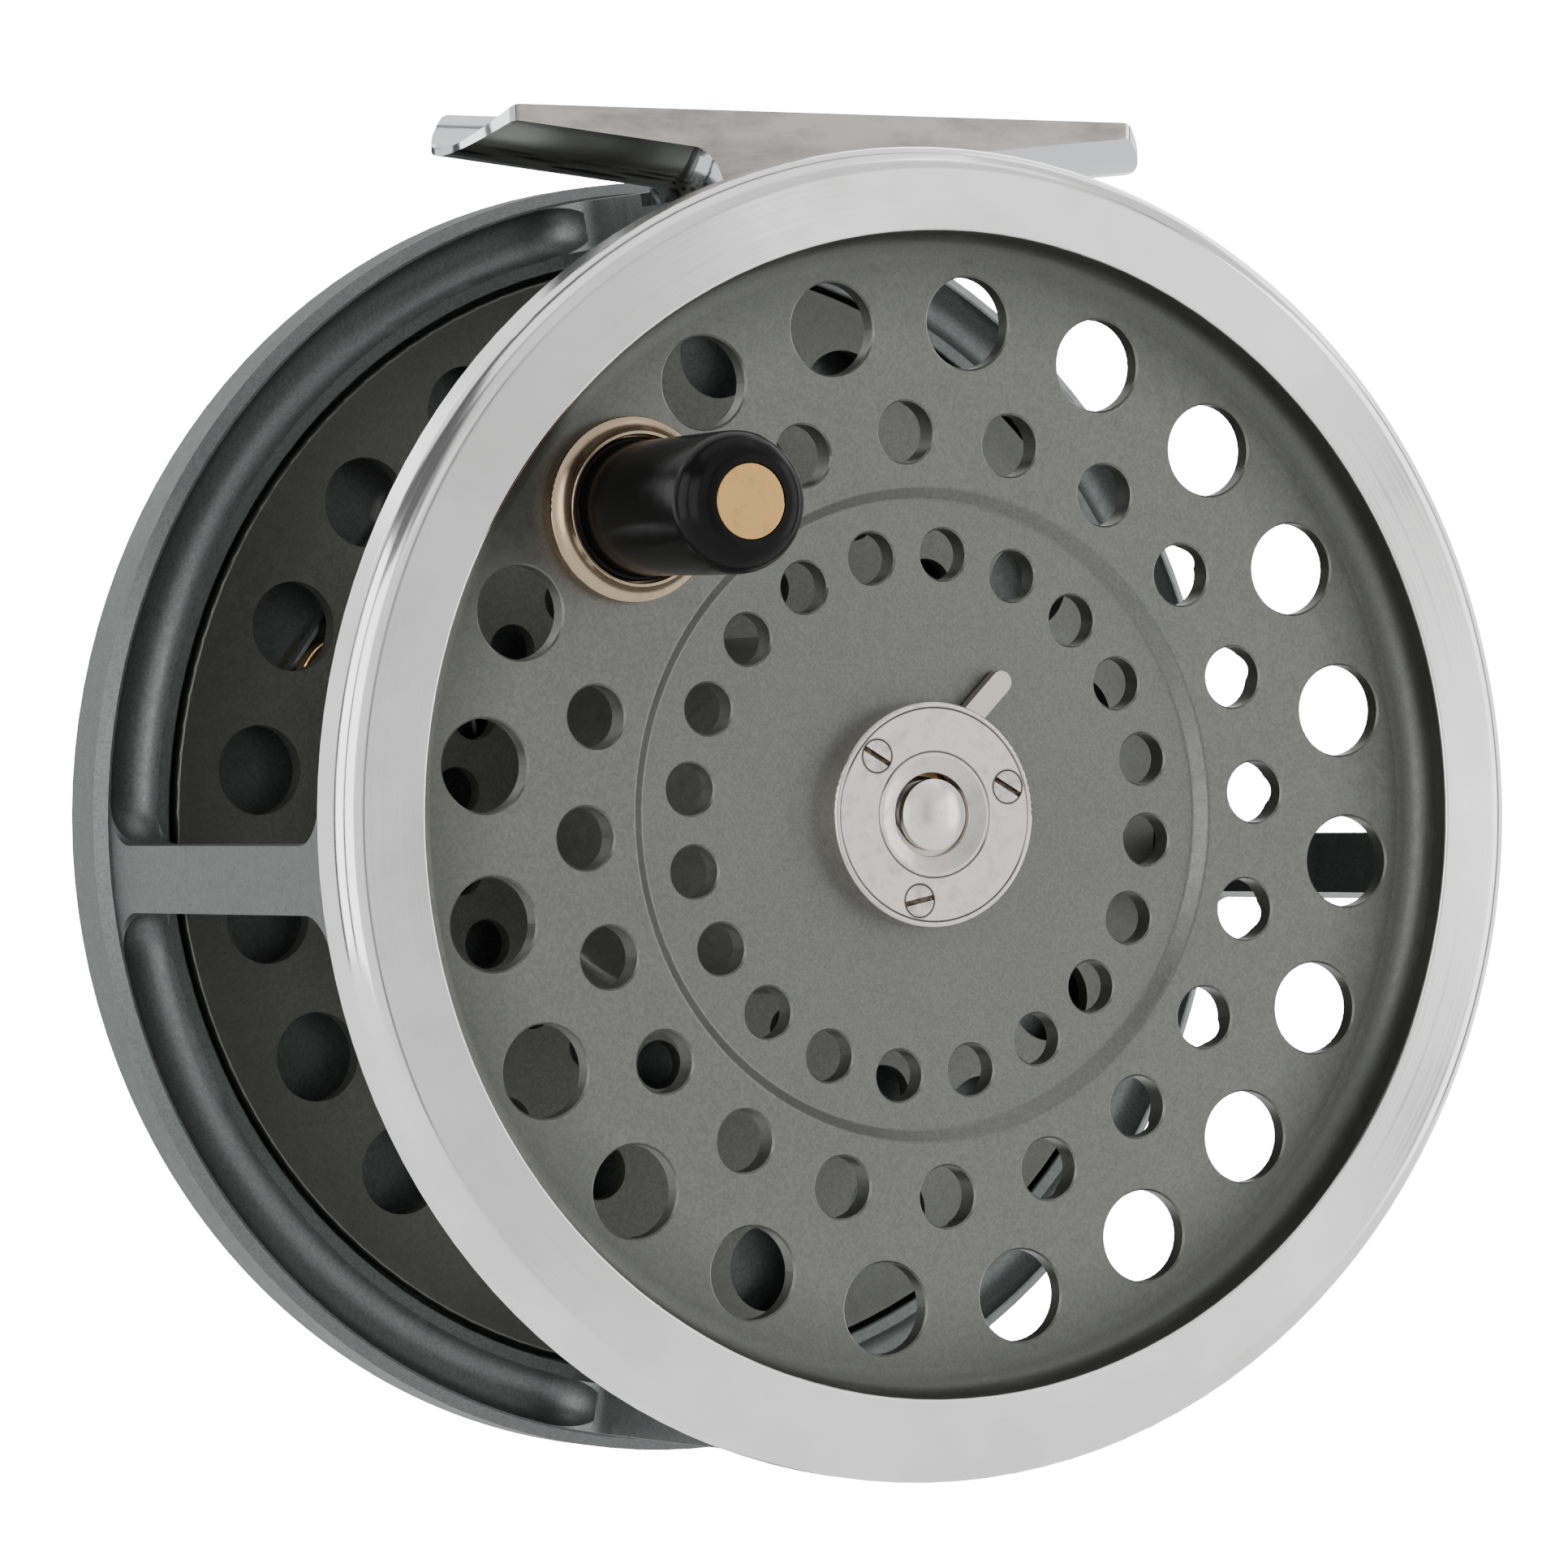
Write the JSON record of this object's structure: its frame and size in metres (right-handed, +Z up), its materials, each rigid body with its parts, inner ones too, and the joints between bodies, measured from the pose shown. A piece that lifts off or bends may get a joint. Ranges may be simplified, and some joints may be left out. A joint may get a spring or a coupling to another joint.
{
  "type": "fly reel",
  "caption": "Fly reel with a drilled spool, polished winding rim, one knob handle, open cage and a saddle foot for the rod.",
  "frame": {"origin": "on the rod's axis in the foot's saddle, over the middle of the foot", "axes": "+X along the rod, +Z up away from the reel, -Y the front of the reel with its handle; the spool's axis runs along Y"},
  "size_m": [0.1048, 0.0716, 0.1086],
  "materials": {
    "grey_enamel": "satin grey enamel; the spool's rim is polished bare",
    "foot_metal": "brushed on the edges, polished under the arms",
    "steel": "turned",
    "spring_steel": "ground",
    "brass": "satin",
    "bronze": "turned",
    "polished_metal": "turned and polished",
    "latch_metal": "brushed",
    "washer_metal": "pale nickel silver, turned",
    "black_knob": "gloss black"
  },
  "bodies": {
    "cage": {"frame": "grey_enamel", "reel_foot": "foot_metal", "foot_screws": "steel", "spindle": "steel", "spindle_screw": "steel", "pawl_posts": "steel", "pawl_clips": "spring_steel", "check_spring": "spring_steel", "spare_spring": "spring_steel", "spring_screws": "steel"},
    "spool": {"spool": "grey_enamel", "spool_bush": "bronze", "click_gear": "steel", "gear_screws": "steel", "hub_cap": "polished_metal", "cap_screws": "steel", "latch_spring": "spring_steel", "handle_washer": "washer_metal", "handle_spindle": "brass"},
    "knob": {"handle_knob": "black_knob"},
    "latch": {"latch_lever": "latch_metal"},
    "check_pawl": {"check_pawl": "steel"},
    "spare_pawl": {"spare_pawl": "steel"},
    "regulator": {"regulator_cam": "brass", "regulator_knob": "polished_metal", "regulator_screw": "steel"}
  },
  "joints": [
    {"name": "spool_spin", "type": "hinge", "parent": "cage", "child": "spool", "pos_m": [0, -0.0018, -0.06073], "axis": [0, -1, 0], "continuous": true},
    {"name": "handle_spin", "type": "hinge", "parent": "spool", "child": "knob", "pos_m": [-0.02638, -0.0318, -0.03698], "axis": [0, -1, 0], "continuous": true},
    {"name": "latch_swing", "type": "hinge", "parent": "spool", "child": "latch", "pos_m": [0.00656, -0.0218, -0.0586], "axis": [0, -1, 0], "range_deg": [0, 7], "stiffness_Nm_per_rad": 0.04, "springref_deg": -3.44, "deforming": ["latch_spring"]},
    {"name": "check_pawl_rock", "type": "hinge", "parent": "cage", "child": "check_pawl", "pos_m": [-0.01291, 0.0228, -0.06347], "axis": [0, -1, 0], "range_deg": [-5, 5], "stiffness_Nm_per_rad": 0.02, "deforming": ["check_spring"]},
    {"name": "spare_pawl_turn", "type": "hinge", "parent": "cage", "child": "spare_pawl", "pos_m": [0.01291, 0.0228, -0.06347], "axis": [0, -1, 0], "range_deg": [-20, 20], "deforming": ["spare_spring"]},
    {"name": "regulator_turn", "type": "hinge", "parent": "cage", "child": "regulator", "pos_m": [-0.02951, 0.0252, -0.04984], "axis": [0, 1, 0], "range_deg": [0, 180], "deforming": ["check_spring"]}
  ]
}
